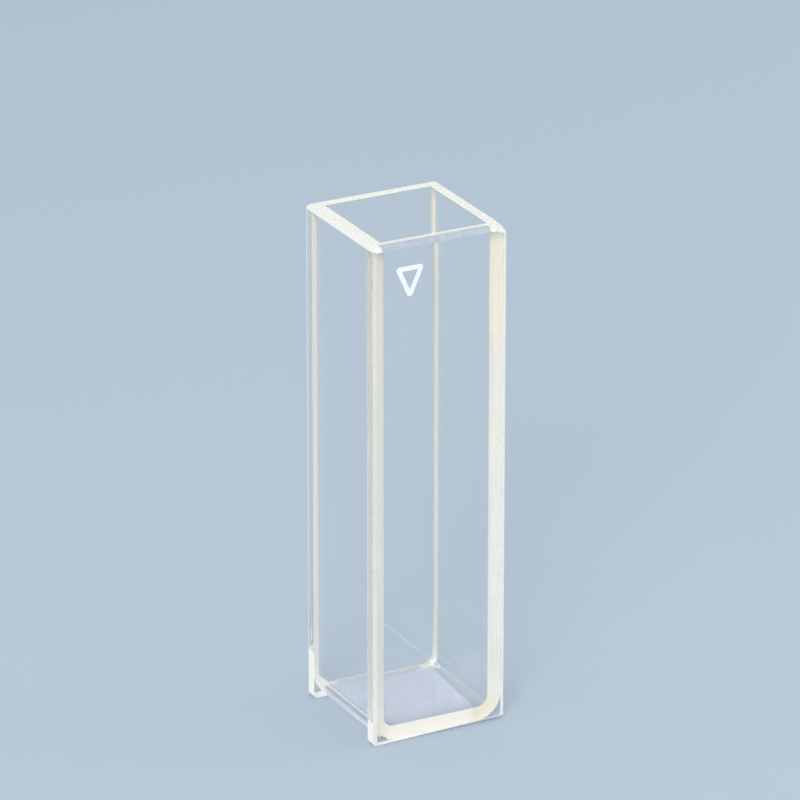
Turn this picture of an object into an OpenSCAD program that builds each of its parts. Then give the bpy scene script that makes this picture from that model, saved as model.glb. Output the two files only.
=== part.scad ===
// Glass cuvette for a spectrophotometer: two polished windows fused to a U-shaped frame.
// Millimetres, +Z up. The origin is the middle of the foot; the light path runs along Y.

/* [Liquid space] */
// Light path, the gap between the two windows
path_l = 10; // [5:0.5:20]
// Width of the liquid space, between the limbs of the frame
bore_w = 10; // [6:0.5:20]

/* [Outside] */
// Height from the foot to the rim
cell_h = 45; // [25:0.5:60]

/* [Walls] */
// Thickness of each window
window_t = 1.25; // [0.9:0.05:2.5]
// Thickness of each upright limb of the frame
limb_t = 1.25; // [0.9:0.05:2.5]
// Thickness of the floor of the frame
floor_t = 1.25; // [0.9:0.05:3]
// Thickness of each seam of fused glass powder
seam_t = 0.05; // [0.02:0.01:0.12]

/* [Corners of the frame] */
// Radius inside, where a limb meets the floor
inner_r = 1; // [0.3:0.1:2]
// Radius outside, where a limb meets the foot
outer_r = 2.25; // [1:0.05:3]

/* [Ground edges] */
// Bevel round the outside of the rim
rim_bevel = 0.35; // [0.1:0.05:0.5]
// Drop of the rim below that bevel at the front right corner, which is ground away more
corner_drop = 0.3; // [0.1:0.05:0.6]
// Reach of that drop, straight in from the front right edge
corner_reach = 1.2; // [0.8:0.1:2]
// Bevel along the foot of each window
foot_bevel = 0.15; // [0.05:0.05:0.4]
// Rise of the front foot edge from left to right, where it is ground a little askew
foot_rise = 0.3; // [0.05:0.05:0.4]
// Corner taken off each window at its two lower ends
foot_corner = 0.2; // [0.1:0.05:0.7]
// Bevel down the four long outside edges
long_bevel = 0.25; // [0.05:0.05:0.4]

/* [Hidden] */
$fn = 64;

// The frame fills the light path but for its two seams, and the windows close it front and back
frame_d = path_l - 2 * seam_t;
cell_w = bore_w + 2 * limb_t;
cell_d = path_l + 2 * window_t;

// From the middle out to the front right edge, and past it by as much as the slope begins before it
edge_reach = (cell_w + cell_d - 2 * long_bevel) / (2 * sqrt(2));
past_edge = edge_reach + corner_reach;

// Turn of the front foot edge up to the right, and the slope that takes the sole back to the foot
foot_turn = atan(foot_rise / cell_w);
sole_slope = foot_rise / window_t;

// Middle of each layer, counted forwards and backwards from the middle of the light path
window_y = (path_l + window_t) / 2;
seam_y = (path_l - seam_t) / 2;

// Tall outline from foot to rim with a bevel at its two upper corners
module rim_outline(width) {
    polygon([
        [-width / 2, 0],
        [width / 2, 0],
        [width / 2, cell_h - rim_bevel],
        [width / 2 - rim_bevel, cell_h],
        [-width / 2 + rim_bevel, cell_h],
        [-width / 2, cell_h - rim_bevel],
    ]);
}

// The same height, with its two lower corners cut off
module foot_outline(width, cut) {
    polygon([
        [-width / 2 + cut, 0],
        [width / 2 - cut, 0],
        [width / 2, cut],
        [width / 2, cell_h],
        [-width / 2, cell_h],
        [-width / 2, cut],
    ]);
}

// Upright section from corner to corner, with the rim falling away to the front right edge
module corner_outline() {
    polygon([
        [-past_edge, 0],
        [past_edge, 0],
        [past_edge, cell_h - 2 * (rim_bevel + corner_drop)],
        [edge_reach - corner_reach, cell_h],
        [-past_edge, cell_h],
    ]);
}

// Section across the front foot edge, with its bevel, and with the cell going on above and behind
module sole_outline() {
    polygon([
        [0, foot_bevel],
        [foot_bevel, -sole_slope * foot_bevel],
        [2 * cell_d, -2 * sole_slope * cell_d],
        [2 * cell_d, 2 * cell_h],
        [0, 2 * cell_h],
    ]);
}

// View from above of the four long edges
module plan_outline() {
    x = cell_w / 2;
    y = cell_d / 2;
    polygon([
        [x - long_bevel, -y],
        [x, -y + long_bevel],
        [x, y - long_bevel],
        [x - long_bevel, y],
        [-x + long_bevel, y],
        [-x, y - long_bevel],
        [-x, -y + long_bevel],
        [-x + long_bevel, -y],
    ]);
}

// Tall outline with square upper corners and round lower ones, from height foot up to height top
module round_footed(width, radius, foot, top) {
    translate([-width / 2, foot + radius])
        square([width, top - foot - radius]);
    translate([-width / 2 + radius, foot])
        square([width - 2 * radius, 2 * radius]);
    for (side = [-1, 1])
        translate([side * (width / 2 - radius), foot + radius])
            circle(radius);
}

// Front view of the frame: the outer U less the liquid space, which is open at the rim
module u_outline() {
    difference() {
        round_footed(cell_w, outer_r, 0, cell_h);
        round_footed(bore_w, inner_r, floor_t, 2 * cell_h);
    }
}

// Stands an outline up in the XZ plane, as thick as depth, with its middle at y
module upright(depth, y) {
    translate([0, y + depth / 2, 0])
        rotate([90, 0, 0])
            linear_extrude(depth)
                children();
}

// Everything above the front foot edge, which climbs from its left end at height 0
module above_sole() {
    translate([-cell_w / 2, -cell_d / 2, 0])
        rotate([0, -foot_turn, 0])
            translate([-cell_w, 0, 0])
                rotate([90, 0, 90])
                    linear_extrude(3 * cell_w)
                        sole_outline();
}

// The outside of the whole cell, with every edge that is ground after the fusing
module ground_block() {
    intersection() {
        upright(cell_d, 0)
            rim_outline(cell_w);
        rotate([0, 0, 90])
            upright(cell_w, 0)
                rim_outline(cell_d);
        translate([0, -cell_d / 2, 0])
            rotate([0, 0, 90])
                upright(cell_w, 0)
                    foot_outline(2 * cell_d, foot_bevel);
        above_sole();
        rotate([0, 0, -45])
            upright(cell_w + cell_d, 0)
                corner_outline();
        linear_extrude(cell_h)
            plan_outline();
    }
}

// One polished plate, from side to side and from foot to rim
module window(y) {
    color("lightcyan", 0.5)
        intersection() {
            upright(window_t, y)
                foot_outline(cell_w, foot_corner);
            ground_block();
        }
}

// A film of glass powder fused between the frame and a window, in the outline of the frame
module seam(y) {
    color("ivory")
        intersection() {
            upright(seam_t, y)
                u_outline();
            ground_block();
        }
}

module front_window() {
    window(-window_y);
}

module back_window() {
    window(window_y);
}

// Both limbs and the floor in one piece of glass
module u_frame() {
    color("azure", 0.5)
        intersection() {
            upright(frame_d, 0)
                u_outline();
            ground_block();
        }
}

module front_seam() {
    seam(-seam_y);
}

module back_seam() {
    seam(seam_y);
}

front_window();
back_window();
u_frame();
front_seam();
back_seam();
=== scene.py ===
import math

import bmesh
import bpy
from mathutils import Matrix, Vector


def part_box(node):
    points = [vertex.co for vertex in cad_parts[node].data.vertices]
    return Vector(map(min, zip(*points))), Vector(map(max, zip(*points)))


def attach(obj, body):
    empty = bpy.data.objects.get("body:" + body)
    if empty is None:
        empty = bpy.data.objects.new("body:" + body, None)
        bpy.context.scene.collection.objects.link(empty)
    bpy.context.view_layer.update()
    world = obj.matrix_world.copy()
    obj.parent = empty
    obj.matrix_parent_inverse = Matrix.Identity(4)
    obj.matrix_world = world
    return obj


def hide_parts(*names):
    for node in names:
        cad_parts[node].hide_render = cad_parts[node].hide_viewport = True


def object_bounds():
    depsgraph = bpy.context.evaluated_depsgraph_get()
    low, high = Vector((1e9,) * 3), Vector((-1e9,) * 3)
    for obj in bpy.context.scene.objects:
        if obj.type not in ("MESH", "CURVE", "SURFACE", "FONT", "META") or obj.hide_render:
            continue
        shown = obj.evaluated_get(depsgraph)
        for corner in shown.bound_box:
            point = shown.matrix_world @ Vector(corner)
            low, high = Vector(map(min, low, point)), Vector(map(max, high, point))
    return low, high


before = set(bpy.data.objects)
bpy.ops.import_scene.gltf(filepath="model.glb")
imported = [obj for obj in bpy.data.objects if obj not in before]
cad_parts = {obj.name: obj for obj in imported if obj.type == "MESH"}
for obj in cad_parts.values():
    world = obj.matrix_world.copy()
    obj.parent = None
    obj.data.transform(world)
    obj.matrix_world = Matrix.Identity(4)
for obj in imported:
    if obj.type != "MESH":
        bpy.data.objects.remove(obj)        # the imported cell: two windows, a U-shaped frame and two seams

cad_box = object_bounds()


# ---- U-shaped frame ----------------------------------------------------------------------
# Both limbs and the floor are one piece of clear glass, ground to a U and polished inside and
# out, but less well in the right inner corner. Handling leaves a very faint film on its faces,
# too thin to see but in a gleam.

MM = 0.001
glass_index = 1.5
light_passed = (0.95, 0.95, 0.95)
frame_tint = (0.99, 0.995, 0.992)
frame_film = 0.012
inner_corner_middle = (4.0, 2.25)
inner_corner_end, inner_corner_reach = 1.2, 1.05
inner_corner_roughness = 0.14
smear_size, smear_stretch = 2.6, (1, 1, 2.2)


def new_group(name, inputs, outputs):
    """An empty shader node group with plain number inputs and the outputs named."""
    group = bpy.data.node_groups.new(name, "ShaderNodeTree")
    for label, value in inputs.items():
        socket = group.interface.new_socket(label, in_out="INPUT", socket_type="NodeSocketFloat")
        socket.default_value = value
    for label in outputs:
        group.interface.new_socket(label, in_out="OUTPUT", socket_type="NodeSocketFloat")
    return group, group.nodes.new("NodeGroupInput"), group.nodes.new("NodeGroupOutput")


def fill_socket(tree, socket, value):
    """Links a socket to the input socket, or sets it to a number."""
    if isinstance(value, (int, float)):
        socket.default_value = value
    else:
        tree.links.new(value, socket)


def add_math(tree, operation, a, b):
    """One Math node; a and b are sockets or numbers. Gives its output."""
    node = tree.nodes.new("ShaderNodeMath")
    node.operation = operation
    fill_socket(tree, node.inputs[0], a)
    fill_socket(tree, node.inputs[1], b)
    return node.outputs[0]


def add_product(tree, first, *others):
    """Multiplies masks and numbers one after another."""
    product = first
    for other in others:
        product = add_math(tree, "MULTIPLY", product, other)
    return product


def add_range(tree, value, low, high, to_low=0.0, to_high=1.0):
    """A clamped Map Range node on value. Gives its output."""
    node = tree.nodes.new("ShaderNodeMapRange")
    tree.links.new(value, node.inputs["Value"])
    fill_socket(tree, node.inputs["From Min"], low)
    fill_socket(tree, node.inputs["From Max"], high)
    fill_socket(tree, node.inputs["To Min"], to_low)
    fill_socket(tree, node.inputs["To Max"], to_high)
    return node.outputs["Result"]


def add_noise(tree, grain_mm, stretch=(1, 1, 1), detail=2.0, shift=(0, 0, 0)):
    """Noise over the cell itself, whose patches are about grain_mm across, drawn out by stretch."""
    place = tree.nodes.new("ShaderNodeTexCoord")
    mapping = tree.nodes.new("ShaderNodeMapping")
    mapping.inputs["Location"].default_value = shift
    for axis in range(3):
        mapping.inputs["Scale"].default_value[axis] = 1 / (grain_mm * MM * stretch[axis])
    tree.links.new(place.outputs["Object"], mapping.inputs["Vector"])
    noise = tree.nodes.new("ShaderNodeTexNoise")
    noise.inputs["Scale"].default_value = 1.0
    noise.inputs["Detail"].default_value = detail
    tree.links.new(mapping.outputs["Vector"], noise.inputs["Vector"])
    return noise.outputs["Fac"]


# Film of handling, for every polished face of the cell
handling, handling_in, handling_out = new_group("handling_film", {"Film": frame_film}, ["Roughness"])
smear = add_range(handling, add_noise(handling, smear_size, smear_stretch), 0.45, 0.75)
smeared = add_product(handling, smear, handling_in.outputs["Film"])
handling.links.new(smeared, handling_out.inputs["Roughness"])


def place_group(tree, group, values):
    """Puts a node group in a material with its own values."""
    node = tree.nodes.new("ShaderNodeGroup")
    node.node_tree = group
    for label, value in values.items():
        node.inputs[label].default_value = value
    return node


def let_light_by(material, shader, share, kinds, tint=(1, 1, 1)):
    """Lets a share of the light of these ray kinds pass the surface, as clear glass does."""
    tree = material.node_tree
    path = tree.nodes.new("ShaderNodeLightPath")
    wanted = path.outputs[kinds[0]]
    for kind in kinds[1:]:
        wanted = add_math(tree, "MAXIMUM", wanted, path.outputs[kind])
    open_air = tree.nodes.new("ShaderNodeBsdfTransparent")
    open_air.inputs["Color"].default_value = (*tint, 1)
    mix = tree.nodes.new("ShaderNodeMixShader")
    tree.links.new(add_product(tree, wanted, share), mix.inputs["Fac"])
    tree.links.new(shader.outputs[0], mix.inputs[1])
    tree.links.new(open_air.outputs[0], mix.inputs[2])
    tree.links.new(mix.outputs[0], tree.nodes["Material Output"].inputs["Surface"])


def clear_glass(name, tint, film):
    """Clear polished glass; light falls through it without the slow play of caustics."""
    material = bpy.data.materials.new(name)
    material.use_nodes = True
    tree = material.node_tree
    body = tree.nodes["Principled BSDF"]
    body.inputs["Base Color"].default_value = (*tint, 1)
    body.inputs["IOR"].default_value = glass_index
    body.inputs["Transmission Weight"].default_value = 1.0
    marks = place_group(tree, handling, {"Film": film})
    tree.links.new(marks.outputs["Roughness"], body.inputs["Roughness"])
    let_light_by(material, body, 1.0, ("Is Shadow Ray", "Is Diffuse Ray"), light_passed)
    return material


def add_round(tree, line_mm, low_mm, high_mm):
    """A mask that goes from 0 to 1 between two distances from a line along the light path."""
    place = tree.nodes.new("ShaderNodeTexCoord")
    flat = tree.nodes.new("ShaderNodeVectorMath")
    flat.operation = "MULTIPLY"
    flat.inputs[1].default_value = (1, 0, 1)
    tree.links.new(place.outputs["Object"], flat.inputs[0])
    away = tree.nodes.new("ShaderNodeVectorMath")
    away.operation = "DISTANCE"
    away.inputs[1].default_value = (line_mm[0] * MM, 0, line_mm[1] * MM)
    tree.links.new(flat.outputs["Vector"], away.inputs[0])
    return add_range(tree, away.outputs["Value"], low_mm * MM, high_mm * MM)


frame_glass = clear_glass("frame_glass", frame_tint, frame_film)
frame_tree = frame_glass.node_tree
frame_roughness = frame_tree.nodes["Principled BSDF"].inputs["Roughness"]
handled = frame_roughness.links[0].from_socket
in_corner = add_round(frame_tree, inner_corner_middle, inner_corner_end, inner_corner_reach)
rougher = add_product(frame_tree, in_corner, inner_corner_roughness)
frame_tree.links.new(add_math(frame_tree, "MAXIMUM", handled, rougher), frame_roughness)
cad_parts["u_frame"].data.materials[0] = frame_glass


# ---- Seams -------------------------------------------------------------------------------
# Each window is fused on by a film of glass powder. Fired, the powder is ivory, streaked and
# mottled, with a few stains. Painted shade greys it along the floor at the back and darkens the
# inner edges of the limbs. A painted glow stands in for the light that the plates guide to it,
# most of all near the foot, with a painted highlight at the back right corner.

frit_ivory = (1.0, 0.93, 0.72)
frit_pale = (1.0, 0.99, 0.94)
frit_grain_and_painted_shade = (0.66, 0.63, 0.56)
frit_warm = (0.88, 0.79, 0.54)
frit_smudge = (0.62, 0.58, 0.50)
frit_burnt = (0.40, 0.28, 0.15)
frit_floor_shade_grey = (0.68, 0.71, 0.76)
frit_highlight_white = (1.0, 1.0, 1.0)
warm_place, smudge_place, highlight_place = (4.9, -5, 1.3), (3.9, -5, 0.7), (5.8, 5, 0.7)
burnt_place, left_round_middle = (-5.05, -5, 0.25), (-4, -5, 2.25)
left_round_radius = 2.25
pale_share, pale_streak_share = 0.7, 0.3
mottle_share, streak_share = 0.42, 0.2
left_painted_shade_share, right_painted_shade_share = 0.22, 0.8
warm_share, smudge_share = 0.55, 0.6
frit_cover, cover_spread = 0.93, 0.05
frit_roughness = 0.7
frit_bump, grain_depth = 0.35, 0.01 * MM
# Strengths of the painted glow that stands in for the light guided through the plates
front_glow, back_glow, highlight_glow, limb_glow = 0.07, 0.28, 0.18, 0.05
seam_bite = 0.01 * MM
seam_shrink = 0.9992
noise_span = (0.35, 0.65)
to_right, to_back, upwards = (1, 0, 0), (0, 1, 0), (0, 0, 1)
black = (0.0, 0.0, 0.0)


def add_along(tree, direction, low_mm, high_mm, waver=None):
    """A mask that goes from 0 to 1 between two places along a direction. Waver shifts its edge."""
    place = tree.nodes.new("ShaderNodeTexCoord")
    along = tree.nodes.new("ShaderNodeVectorMath")
    along.operation = "DOT_PRODUCT"
    along.inputs[1].default_value = direction
    tree.links.new(place.outputs["Object"], along.inputs[0])
    reached = along.outputs["Value"]
    if waver is not None:
        reached = add_math(tree, "ADD", reached, waver)
    return add_range(tree, reached, low_mm * MM, high_mm * MM)


def add_patch(tree, centre_mm, reach_mm):
    """A mask that is 1 at a place on the cell and falls to 0 at reach_mm from it."""
    place = tree.nodes.new("ShaderNodeTexCoord")
    away = tree.nodes.new("ShaderNodeVectorMath")
    away.operation = "DISTANCE"
    away.inputs[1].default_value = [c * MM for c in centre_mm]
    tree.links.new(place.outputs["Object"], away.inputs[0])
    return add_range(tree, away.outputs["Value"], 0.0, reach_mm * MM, 1.0, 0.0)


def add_tint(tree, share, under, over):
    """Mixes the colour over into under by share. Either may be a colour or a socket."""
    mix = tree.nodes.new("ShaderNodeMix")
    mix.data_type = "RGBA"
    tree.links.new(share, mix.inputs["Factor"])
    for place, colour in ((mix.inputs[6], under), (mix.inputs[7], over)):
        if isinstance(colour, tuple):
            place.default_value = (*colour, 1)
        else:
            tree.links.new(colour, place)
    return mix.outputs[2]


def glow_by(tree, share, colour):
    """Paints a glow on a surface in this colour by share; the surface is no lamp."""
    body = tree.nodes["Principled BSDF"]
    tree.links.new(add_tint(tree, share, black, colour), body.inputs["Emission Color"])
    body.inputs["Emission Strength"].default_value = 1.0


def clear_of_foot(tree):
    """The limbs, above the round corners that lead into them."""
    return add_along(tree, upwards, 3, 8)


def limb_tone(tree, colour, streak, mottle):
    """Ivory that pales downwards, with its grain, and painted shade along the inner edges of the limbs."""
    paler = add_product(tree, add_along(tree, upwards, 45, 15), pale_share)
    paler = add_math(tree, "ADD", paler, add_product(tree, streak, pale_streak_share))
    colour = add_tint(tree, paler, colour, frit_pale)
    grain = add_product(tree, mottle, mottle_share)
    grain = add_math(tree, "ADD", grain, add_product(tree, streak, streak_share))
    colour = add_tint(tree, grain, colour, frit_grain_and_painted_shade)
    # Painted shade: darker towards the inner edge of the left limbs, and of the right limb at the back
    left_limbs = add_product(tree, add_along(tree, to_right, -1, -2), clear_of_foot(tree))
    left_inwards = add_along(tree, to_right, -6.2, -5.0)
    left_painted_shade = add_product(tree, left_limbs, left_inwards, left_painted_shade_share)
    colour = add_tint(tree, left_painted_shade, colour, frit_grain_and_painted_shade)
    back_limbs = add_product(tree, add_along(tree, to_back, -1, 1), clear_of_foot(tree))
    back_right = add_product(tree, back_limbs, add_along(tree, to_right, 0, 1))
    right_inwards = add_along(tree, to_right, 5.6, 5.0)
    right_painted_shade = add_product(tree, back_right, right_inwards, right_painted_shade_share)
    return add_tint(tree, right_painted_shade, colour, frit_grain_and_painted_shade)


def stained(tree, colour, mottle, painted_highlight):
    """The warm corner, the smudge beside it, the painted white highlight at the back and the burnt edge."""
    warm = add_product(tree, add_patch(tree, warm_place, 2.3), warm_share)
    colour = add_tint(tree, warm, colour, frit_warm)
    smudge = add_product(tree, add_patch(tree, smudge_place, 0.9), mottle, smudge_share)
    colour = add_tint(tree, smudge, colour, frit_smudge)
    colour = add_tint(tree, painted_highlight, colour, frit_highlight_white)
    near_edge = add_range(tree, add_patch(tree, left_round_middle, left_round_radius), 0.10, 0.04)
    burnt_spot = add_range(tree, add_patch(tree, burnt_place, 0.45), 0, 0.5)
    return add_tint(tree, add_product(tree, burnt_spot, near_edge), colour, frit_burnt)


def floor_painted_shade(tree):
    """Painted shade along the floor at the back, on its front side, where the powder turns grey."""
    floor_shade = add_along(tree, upwards, 1.45, 1.15)
    for direction, low, high in (
        (to_back, 4.0, 4.1), (to_back, 4.99, 4.97), (to_right, -3.9, -2.8), (to_right, 4.1, 3.5),
    ):
        floor_shade = add_product(tree, floor_shade, add_along(tree, direction, low, high))
    return floor_shade


def painted_guided_glow(tree, painted_highlight, floor_shade):
    """How much painted glow the powder gets, standing in for the light that the plates guide to it."""
    # The back seam gets more painted glow than the front
    from_behind = add_range(tree, add_along(tree, to_back, 4.97, 4.99), 0, 1, front_glow, back_glow)
    glow = add_product(tree, add_along(tree, upwards, 4.5, 0.9), from_behind)
    glow = add_math(tree, "ADD", glow, add_product(tree, painted_highlight, highlight_glow))
    glow = add_product(tree, glow, add_range(tree, floor_shade, 0, 1, 1, 0))
    right_limbs = add_product(tree, add_along(tree, to_right, 4.9, 5.5), clear_of_foot(tree))
    return add_math(tree, "ADD", glow, add_product(tree, right_limbs, limb_glow))


def glass_powder():
    """Fired glass powder, seen through the glass that it holds."""
    material = bpy.data.materials.new("seam_frit")
    material.use_nodes = True
    tree = material.node_tree
    body = tree.nodes["Principled BSDF"]
    streak = add_noise(tree, grain_mm=0.34, stretch=(1, 1, 22), detail=3.0)
    streak = add_range(tree, streak, *noise_span)
    streak = add_product(tree, streak, add_along(tree, upwards, 1.2, 3.5))
    mottle = add_range(tree, add_noise(tree, grain_mm=0.22, shift=(3, 7, 1)), *noise_span)
    # A painted highlight: a white spot at the back right corner, which also gets painted glow
    painted_highlight = add_range(tree, add_patch(tree, highlight_place, 1.1), 0.0, 0.5)
    floor_shade = floor_painted_shade(tree)
    colour = limb_tone(tree, frit_ivory, streak, mottle)
    colour = stained(tree, colour, mottle, painted_highlight)
    # Painted grey shade along the floor at the back
    colour = add_tint(tree, floor_shade, colour, frit_floor_shade_grey)
    tree.links.new(colour, body.inputs["Base Color"])
    glow_by(tree, painted_guided_glow(tree, painted_highlight, floor_shade), colour)
    body.inputs["Roughness"].default_value = frit_roughness
    cover = add_range(tree, mottle, 0.0, 1.0, frit_cover - cover_spread, frit_cover + cover_spread)
    tree.links.new(cover, body.inputs["Alpha"])
    bump = tree.nodes.new("ShaderNodeBump")
    bump.inputs["Strength"].default_value = frit_bump
    bump.inputs["Distance"].default_value = grain_depth
    tree.links.new(mottle, bump.inputs["Height"])
    tree.links.new(bump.outputs["Normal"], body.inputs["Normal"])
    return material


frit = glass_powder()
for side in ("front", "back"):
    low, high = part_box(side + "_seam")
    to_middle = Matrix.Translation((0, (low.y + high.y) / 2, 0))
    thicker = 1 + 2 * seam_bite / (high.y - low.y)
    fit = Matrix.Diagonal((seam_shrink, thicker, 1, 1))
    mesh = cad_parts[side + "_seam"].data.copy()
    mesh.transform(to_middle @ fit @ to_middle.inverted())
    mesh.materials[0] = frit
    seam = bpy.data.objects.new(side + "_seam_frit", mesh)
    bpy.context.scene.collection.objects.link(seam)
    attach(seam, "root")
    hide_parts(side + "_seam")


# ---- Windows -----------------------------------------------------------------------------
# Two flat plates of optical glass close the frame front and back. Their faces are polished
# for the light path, so they are a little clearer and cleaner than the frame.

window_tint = (0.995, 0.997, 0.995)
window_film = 0.008

window_glass = clear_glass("window_glass", window_tint, window_film)
for name in ("front_window", "back_window"):
    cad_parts[name].data.materials[0] = window_glass


# ---- Ground rim --------------------------------------------------------------------------
# After the fusing, the whole top is ground flat and its outer edge bevelled. Ground glass is
# white and finely pitted. Along the front plate, where only clear glass is below, it has a painted
# lavender shade, and it has painted grey shade where the bevel begins.

ground_depth = 0.02 * MM
same_corner = 0.0001 * MM
flat_angle = 0.01
rim_z = cad_box[1].z
rim_zone, rim_facing = 0.6 * MM, 0.3
rim_cover, painted_lavender_cover = 0.93, 0.8
rim_painted_lavender = (0.42, 0.48, 0.56)
rim_bevel_shade_white = (0.83, 0.84, 0.80)
rim_bevel_shade_share = 0.8
ground_roughness = 0.85
ground_bump, pit_depth = 0.5, 0.01 * MM
ground_light_share = 0.5

# Pits and grain of a surface ground with loose grit
grit, grit_in, grit_out = new_group("ground_grit", {"Pitting": 0.5}, ["Shade", "Height"])
grain = add_noise(grit, grain_mm=0.20, detail=3.0)
pits = add_range(grit, add_noise(grit, grain_mm=0.19, detail=1.0, shift=(5, 2, 9)), 0.62, 0.72)
cloud = add_range(grit, add_noise(grit, grain_mm=1.6, shift=(1, 4, 2)), 0.3, 0.7)
shade = add_range(grit, cloud, 0.0, 1.0, 0.9, 1.0)
shade = add_math(grit, "SUBTRACT", shade, add_product(grit, pits, grit_in.outputs["Pitting"]))
shade = add_math(grit, "SUBTRACT", shade, add_range(grit, grain, *noise_span, 0.0, 0.6))
grit.links.new(shade, grit_out.inputs["Shade"])
grit.links.new(add_math(grit, "SUBTRACT", grain, pits), grit_out.inputs["Height"])


def ground_glass(name, white, shadow, pitting, cover, glow=0.0):
    """Ground glass, which covers a share of what is behind it. Its glow is painted light, standing in for
    light guided to it.
    """
    material = bpy.data.materials.new(name)
    material.use_nodes = True
    tree = material.node_tree
    body = tree.nodes["Principled BSDF"]
    worn = place_group(tree, grit, {"Pitting": pitting})
    tree.links.new(add_tint(tree, worn.outputs["Shade"], shadow, white), body.inputs["Base Color"])
    body.inputs["Roughness"].default_value = ground_roughness
    bump = tree.nodes.new("ShaderNodeBump")
    bump.inputs["Strength"].default_value = ground_bump
    bump.inputs["Distance"].default_value = pit_depth
    tree.links.new(worn.outputs["Height"], bump.inputs["Height"])
    tree.links.new(bump.outputs["Normal"], body.inputs["Normal"])
    body.inputs["Alpha"].default_value = cover
    # Painted glow in the ground white, as strong as glow
    body.inputs["Emission Color"].default_value = (*white, 1)
    body.inputs["Emission Strength"].default_value = glow
    let_light_by(material, body, ground_light_share, ("Is Shadow Ray", "Is Diffuse Ray"))
    return material


def ground_skin(name, material, is_ground):
    """The ground layer astride the faces of the cell that is_ground picks by node, middle and normal."""
    sheet = bmesh.new()
    for node_name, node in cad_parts.items():
        corners = {}
        for face in node.data.polygons:
            if is_ground(node_name, face.center, face.normal):
                ring = []
                for index in face.vertices:
                    place = node.data.vertices[index].co
                    key = tuple(round(c / same_corner) for c in place)
                    if key not in corners:
                        corners[key] = sheet.verts.new(place)
                    ring.append(corners[key])
                sheet.faces.new(ring)
    bmesh.ops.dissolve_limit(sheet, angle_limit=flat_angle, verts=sheet.verts, edges=sheet.edges)
    mesh = bpy.data.meshes.new(name)
    sheet.to_mesh(mesh)
    sheet.free()
    mesh.materials.append(material)
    skin = bpy.data.objects.new(name, mesh)
    bpy.context.scene.collection.objects.link(skin)
    thickness = skin.modifiers.new("thickness", "SOLIDIFY")
    thickness.thickness = ground_depth
    thickness.offset = 0
    thickness.use_even_offset = True
    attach(skin, "root")


rim_white = ground_glass(
    "ground_rim", white=(0.95, 0.96, 0.90), shadow=(0.60, 0.62, 0.57), pitting=0.5, cover=rim_cover,
)
rim_tree = rim_white.node_tree
rim_body = rim_tree.nodes["Principled BSDF"]
worn_white = rim_body.inputs["Base Color"].links[0].from_socket

# Painted lavender shade over the bore, from limb to limb, in faint blotches
blotches = add_noise(rim_tree, grain_mm=0.5, detail=3.0, shift=(8, 1, 3))
painted_lavender = add_product(
    rim_tree,
    add_along(rim_tree, to_back, -5.15, -5.75),
    add_along(rim_tree, to_right, -5.55, -5.35),
    add_along(rim_tree, to_right, 4.85, 4.65),
    add_range(rim_tree, blotches, *noise_span, 0.78, 1.0),
)

# Painted shade: a greyer white where the bevel begins, the same way round on all four sides
from_middle = rim_tree.nodes.new("ShaderNodeSeparateXYZ")
rim_tree.links.new(rim_tree.nodes.new("ShaderNodeTexCoord").outputs["Object"], from_middle.inputs[0])
across = add_math(rim_tree, "ABSOLUTE", from_middle.outputs["X"], 0)
along_path = add_math(rim_tree, "ABSOLUTE", from_middle.outputs["Y"], 0)
outwards = add_math(rim_tree, "MAXIMUM", across, along_path)
at_edge = add_range(rim_tree, outwards, 5.85 * MM, 5.95 * MM, 0.0, rim_bevel_shade_share)
bevel_shaded_white = add_tint(rim_tree, at_edge, worn_white, rim_bevel_shade_white)

rim_tree.links.new(add_tint(rim_tree, painted_lavender, bevel_shaded_white, rim_painted_lavender), rim_body.inputs["Base Color"])
rim_tree.links.new(add_range(rim_tree, painted_lavender, 0, 1, rim_cover, painted_lavender_cover), rim_body.inputs["Alpha"])
ground_skin(
    "ground_rim",
    rim_white,
    lambda node, middle, out: out.z > rim_facing and middle.z > rim_z - rim_zone,
)


# ---- Ground front edges ------------------------------------------------------------------
# The two long edges in front are bevelled on the same wheel, a little finer than the rim, and
# show as a pale line, which fades up the left edge. Those at the back are polished and clear.

edge_cover, faded_cover = 0.75, 0.2
edge_painted_glow = (0.20, 0.20, 0.19)
edge_facing = 0.6

edge_white = ground_glass(
    "ground_edge", white=(0.88, 0.87, 0.81), shadow=(0.68, 0.68, 0.64), pitting=0.3, cover=edge_cover,
)
edge_tree = edge_white.node_tree
on_right = add_along(edge_tree, to_right, 0, 1)
fading = add_range(edge_tree, add_along(edge_tree, upwards, 16, 3), 0, 1, faded_cover, edge_cover)
covered = add_range(edge_tree, on_right, 0, 1, fading, edge_cover)
edge_tree.links.new(covered, edge_tree.nodes["Principled BSDF"].inputs["Alpha"])
# Painted glow on the right edge, which faces away from the key lamp
glow_by(edge_tree, on_right, edge_painted_glow)
ground_skin(
    "ground_edges",
    edge_white,
    lambda node, middle, out: out.y < -edge_facing and abs(out.x) > edge_facing,
)


# ---- Ground feet of the windows ----------------------------------------------------------
# The windows stand the cell up: their lower ends are ground with the rest of the foot, and
# bevelled and cornered by hand. They shine white with a painted glow, which stands in for the
# light that the plates pipe down to them.

foot_cover, foot_painted_glow = 0.97, 0.08
foot_zone, foot_facing = 0.5 * MM, -0.3

foot_white = ground_glass(
    "ground_foot",
    white=(0.90, 0.90, 0.88), shadow=(0.68, 0.70, 0.72), pitting=0.3, cover=foot_cover, glow=foot_painted_glow,
)
ground_skin(
    "ground_feet",
    foot_white,
    lambda node, middle, out: out.z < foot_facing and middle.z < foot_zone and "window" in node,
)


# ---- Ground right end of the front window ------------------------------------------------
# The right end of the front window was held to the wheel as well, a little way up from the
# foot, where the grinding runs out.

end_cover = 0.95
end_facing = 0.9

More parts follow.
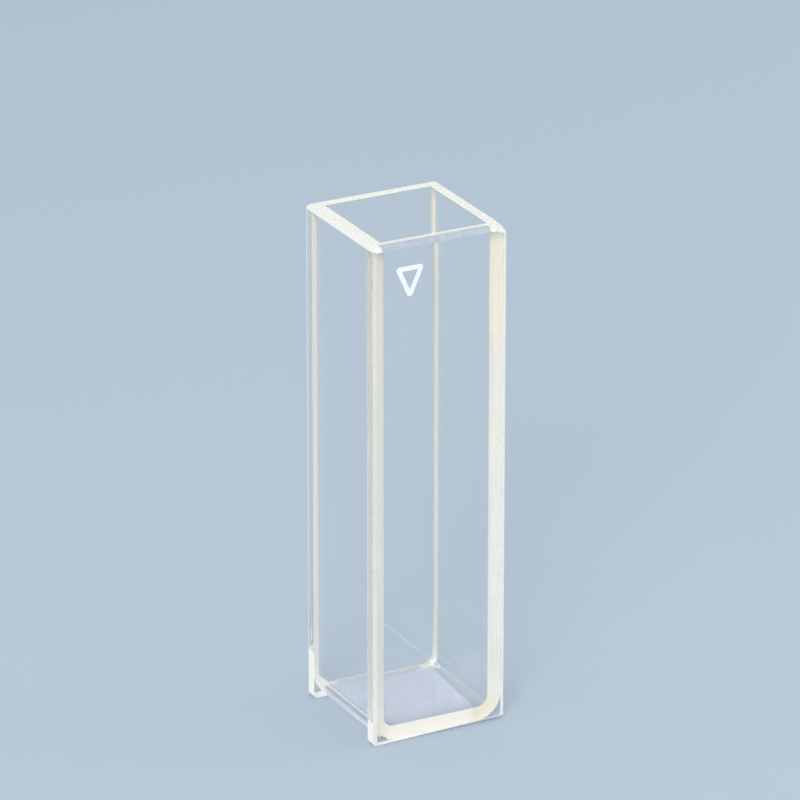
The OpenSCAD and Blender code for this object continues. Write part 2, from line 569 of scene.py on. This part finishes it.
end_white = ground_glass(
    "ground_end", white=(0.93, 0.95, 0.98), shadow=(0.76, 0.80, 0.86), pitting=0.3, cover=end_cover,
)
end_tree = end_white.node_tree
runs_out = add_product(end_tree, add_along(end_tree, upwards, 4.6, 2.4), end_cover)
end_tree.links.new(runs_out, end_tree.nodes["Principled BSDF"].inputs["Alpha"])
ground_skin(
    "ground_end",
    end_white,
    lambda node, middle, out: out.x > end_facing and node == "front_window",
)


# ---- Ground left ends of the windows -----------------------------------------------------
# Both left ends are ground from the foot up, the back one further, and both get a painted glow.
# A thin painted highlight runs along the far edge of the back one. Above the ground part the
# front one has streaky painted grey shade, darker in a band along its front edge.

left_cover, far_edge_highlight_cover, painted_shade_cover = 0.93, 0.33, 0.11
painted_shade_grey = (0.31, 0.35, 0.39)
left_painted_glow = (0.10, 0.10, 0.09)

left_white = ground_glass(
    "ground_left_ends",
    white=(0.97, 0.955, 0.90), shadow=(0.82, 0.82, 0.78), pitting=0.3, cover=left_cover,
)
left_tree = left_white.node_tree
left_body = left_tree.nodes["Principled BSDF"]
worn_white = left_body.inputs["Base Color"].links[0].from_socket

at_front = add_along(left_tree, upwards, 2.3, 2.15)
at_back = add_along(left_tree, upwards, 4.5, 4.4)
left_ground = add_range(left_tree, add_along(left_tree, to_back, -1, 1), 0, 1, at_front, at_back)
far_edge_highlight = add_along(left_tree, to_back, 5.8, 5.88)
white_and_highlight_share = add_math(left_tree, "MAXIMUM", left_ground, far_edge_highlight)

streaky = add_noise(left_tree, grain_mm=0.25, stretch=(1, 1, 25), detail=3.0)
# Painted grey shade in streaks on the front window's left end
film = add_product(
    left_tree,
    add_range(left_tree, streaky, *noise_span, 0.6, 1.4),
    add_along(left_tree, to_back, 1, -1),
    add_range(left_tree, add_along(left_tree, upwards, 3, 14), 0, 1, 0.4, 1.0),
)
# Darker painted shade in a band along the front edge
front_edge_shade = add_product(
    left_tree,
    add_along(left_tree, upwards, 18, 26),
    add_along(left_tree, upwards, 38, 34),
    add_along(left_tree, to_back, -5.8, -5.9),
)
film = add_math(left_tree, "ADD", film, front_edge_shade)

covered = add_product(left_tree, left_ground, left_cover)
covered = add_math(left_tree, "MAXIMUM", covered, add_product(left_tree, far_edge_highlight, far_edge_highlight_cover))
covered = add_math(left_tree, "MAXIMUM", covered, add_product(left_tree, film, painted_shade_cover))
left_tree.links.new(covered, left_body.inputs["Alpha"])
left_colour = add_tint(left_tree, white_and_highlight_share, painted_shade_grey, worn_white)
left_tree.links.new(left_colour, left_body.inputs["Base Color"])
# Painted glow on the ground parts and on the painted highlight
glow_by(left_tree, white_and_highlight_share, left_painted_glow)
ground_skin(
    "ground_left_ends",
    left_white,
    lambda node, middle, out: out.x < -end_facing and "window" in node,
)


# ---- Haze on the left corner of the frame ------------------------------------------------
# The round left corner of the frame was only rubbed over with fine grit, and is left with a
# faint haze, a little denser towards the foot. A painted glow on it stands in for a highlight
# along that corner.

haze_cover, haze_foot_cover = 0.12, 0.28
haze_painted_glow = 0.40
haze_steepest, haze_flattest, haze_downwards = -0.99, -0.6, -0.1

haze_white = ground_glass(
    "ground_haze",
    white=(0.95, 0.97, 0.99), shadow=(0.84, 0.88, 0.93), pitting=0.2, cover=haze_cover, glow=haze_painted_glow,
)
haze_tree = haze_white.node_tree
near_foot = add_along(haze_tree, upwards, 1.0, 0.8)
haze = add_range(haze_tree, near_foot, 0, 1, haze_cover, haze_foot_cover)
haze_tree.links.new(haze, haze_tree.nodes["Principled BSDF"].inputs["Alpha"])
ground_skin(
    "ground_haze",
    haze_white,
    lambda node, middle, out: (
        haze_steepest < out.x < haze_flattest and out.z < haze_downwards and node == "u_frame"
    ),
)


# ---- Ground underside of the frame -------------------------------------------------------
# The flat of the frame between its round corners is ground too, and is seen through the floor
# of the cell as a patch with a slight sparkle, painted grey-blue as shade, with a faint painted
# glow. It was ground a little askew, so the patch runs further onto the right corner at the back
# than at the front.

base_cover, base_painted_glow = 0.82, 0.08
base_facing = -0.82
base_edge = 0.05
patch_left, patch_right = -3.67, 4.66
left_lean, right_lean = (1, -0.022, 0), (1, -0.099, 0)
ragged_by = 0.12 * MM

base_painted_shade = ground_glass(
    "ground_base",
    white=(0.66, 0.73, 0.87), shadow=(0.36, 0.42, 0.54), pitting=0.5, cover=base_cover, glow=base_painted_glow,
)
base_tree = base_painted_shade.node_tree
ragged = add_product(base_tree, add_noise(base_tree, grain_mm=0.5, detail=3.0), ragged_by)
patch = add_product(
    base_tree,
    add_along(base_tree, left_lean, patch_left, patch_left + base_edge, ragged),
    add_along(base_tree, right_lean, patch_right + base_edge, patch_right, ragged),
    base_cover,
)
base_tree.links.new(patch, base_tree.nodes["Principled BSDF"].inputs["Alpha"])
ground_skin(
    "ground_base",
    base_painted_shade,
    lambda node, middle, out: out.z < base_facing and node == "u_frame",
)


# ---- Orientation mark --------------------------------------------------------------------
# A hollow triangle fired on the front window in white enamel shows which way round the cell
# goes into its holder. Printed through a stencil, so its corners are a little round.

mark_width, mark_height, mark_line = 2.8 * MM, 3.1 * MM, 0.42 * MM
mark_outer_radius, mark_inner_radius = 0.28 * MM, 0.06 * MM
mark_middle = Vector((-2.9 * MM, cad_box[0].y, 41.5 * MM))
mark_depth = 0.012 * MM
enamel_thin, enamel_full = (0.88, 0.89, 0.90), (0.95, 0.95, 0.95)


def rounded_ring(points, radius, steps=6):
    """The outline through points, with each corner turned by an arc of this radius."""
    ring = []
    for index, corner in enumerate(points):
        before = (points[index - 1] - corner).normalized()
        after = (points[(index + 1) % len(points)] - corner).normalized()
        half = before.angle(after) / 2
        arc_middle = corner + (before + after).normalized() * radius / math.sin(half)
        start = corner + before * radius / math.tan(half) - arc_middle
        end = corner + after * radius / math.tan(half) - arc_middle
        turn = start.angle_signed(end)
        for step in range(steps + 1):
            spoke = start.copy()
            spoke.rotate(Matrix.Rotation(-turn * step / steps, 2))
            ring.append(arc_middle + spoke)
    return ring


def white_enamel():
    """Fired white enamel with a faint unevenness from the stencil."""
    material = bpy.data.materials.new("white_enamel")
    material.use_nodes = True
    tree = material.node_tree
    body = tree.nodes["Principled BSDF"]
    patchy = add_noise(tree, grain_mm=0.35, detail=3.0, shift=(2, 2, 5))
    colour = add_tint(tree, add_range(tree, patchy, *noise_span), enamel_thin, enamel_full)
    tree.links.new(colour, body.inputs["Base Color"])
    tree.links.new(add_range(tree, patchy, 0.3, 0.7, 0.3, 0.5), body.inputs["Roughness"])
    return material


def triangle(half_width, top, tip):
    """A triangle that stands on its tip."""
    return [Vector((-half_width, top)), Vector((half_width, top)), Vector((0, tip))]


tip_half_angle = math.atan2(mark_width / 2, mark_height)
inset_top = mark_height / 2 - mark_line
inset_tip = -mark_height / 2 + mark_line / math.sin(tip_half_angle)
inset_half_width = (inset_top - inset_tip) * math.tan(tip_half_angle)
outside = rounded_ring(triangle(mark_width / 2, mark_height / 2, -mark_height / 2), mark_outer_radius)
inside = rounded_ring(triangle(inset_half_width, inset_top, inset_tip), mark_inner_radius)

print_mesh = bmesh.new()
rings = []
for outline in (outside, inside):
    rings.append([print_mesh.verts.new(mark_middle + Vector((p.x, 0, p.y))) for p in outline])
count = len(outside)
for index in range(count):
    after = (index + 1) % count
    print_mesh.faces.new((rings[0][index], rings[0][after], rings[1][after], rings[1][index]))
mark_mesh = bpy.data.meshes.new("orientation_mark")
print_mesh.to_mesh(mark_mesh)
print_mesh.free()
mark_mesh.materials.append(white_enamel())
mark = bpy.data.objects.new("orientation_mark", mark_mesh)
bpy.context.scene.collection.objects.link(mark)
layer = mark.modifiers.new("layer", "SOLIDIFY")
layer.thickness = mark_depth
layer.offset = 0
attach(mark, "root")


# ---- Table -------------------------------------------------------------------------------
# A plain pale table top, painted matt. It lies a hair below the foot, so that the two never
# share a surface.

table_gap = 0.03 * MM
table_half = 4.0
table_tone = (0.435, 0.525, 0.62)
table_roughness, table_gloss = 0.85, 0.2
table_sides = ((-1, -1), (1, -1), (1, 1), (-1, 1))
table_corners = [(x * table_half, y * table_half, -table_gap) for x, y in table_sides]

table_mesh = bpy.data.meshes.new("table_top")
table_mesh.from_pydata(table_corners, [], [(0, 1, 2, 3)])
table = bpy.data.objects.new("table_top", table_mesh)
bpy.context.scene.collection.objects.link(table)

table_paint = bpy.data.materials.new("table_paint")
table_paint.use_nodes = True
paint = table_paint.node_tree.nodes["Principled BSDF"]
paint.inputs["Base Color"].default_value = (*table_tone, 1)
paint.inputs["Roughness"].default_value = table_roughness
paint.inputs["Specular IOR Level"].default_value = table_gloss
table_mesh.materials.append(table_paint)


# ---- Room and lamps ----------------------------------------------------------------------
# A pale room, darker round the horizon so that the glass has something to show at its edges,
# with a large soft lamp from the front left and a weaker one from the right.

room_horizon, room_above = (0.34, 0.36, 0.39), (0.82, 0.82, 0.82)
horizon_sine, above_sine = 0.05, 0.45
lamp_aim = Vector((0, 0, 0.02))

room = bpy.data.worlds.new("room")
bpy.context.scene.world = room
room.use_nodes = True
room_tree = room.node_tree
sky_parts = room_tree.nodes.new("ShaderNodeSeparateXYZ")
room_tree.links.new(room_tree.nodes.new("ShaderNodeTexCoord").outputs["Generated"], sky_parts.inputs[0])
height = add_range(room_tree, sky_parts.outputs["Z"], horizon_sine, above_sine)
sky = add_tint(room_tree, height, room_horizon, room_above)
room_tree.links.new(sky, room_tree.nodes["Background"].inputs["Color"])


def soft_lamp(name, place, size, watts):
    """A square soft lamp at place, turned to the cell."""
    light = bpy.data.lights.new(name, "AREA")
    light.size = size
    light.energy = watts
    lamp = bpy.data.objects.new(name, light)
    lamp.location = place
    lamp.rotation_euler = (lamp_aim - Vector(place)).to_track_quat("-Z", "Y").to_euler()
    bpy.context.scene.collection.objects.link(lamp)


soft_lamp("key_lamp", place=(-0.45, -0.55, 0.40), size=0.35, watts=3.6)
soft_lamp("side_lamp", place=(0.5, -0.1, 0.35), size=0.3, watts=0.6)


# ---- Camera ------------------------------------------------------------------------------
# A long lens from half a metre away looks down a little on the front left edge of the cell,
# so that the long edges stay nearly parallel. Light may turn many times inside the glass.

view_azimuth, view_elevation = math.radians(27.72), math.radians(22.06)
view_distance = 549.3 * MM
view_aim = Vector((0.35, 1.69, 27.645)) * MM
lens_length, lens_width = 292.5, 36
nearest, farthest = 0.05, 20
light_turns = 48

lens = bpy.data.cameras.new("camera")
lens.sensor_width = lens_width
lens.lens = lens_length
lens.clip_start = nearest
lens.clip_end = farthest
camera = bpy.data.objects.new("camera", lens)
bpy.context.scene.collection.objects.link(camera)
bpy.context.scene.camera = camera
towards = Vector((
    math.sin(view_azimuth) * math.cos(view_elevation),
    math.cos(view_azimuth) * math.cos(view_elevation),
    -math.sin(view_elevation),
))
camera.location = view_aim - view_distance * towards
camera.rotation_euler = towards.to_track_quat("-Z", "Y").to_euler()

bpy.context.scene.cycles.max_bounces = light_turns
bpy.context.scene.cycles.transmission_bounces = light_turns
bpy.context.scene.cycles.glossy_bounces = light_turns
bpy.context.scene.view_settings.view_transform = "Standard"
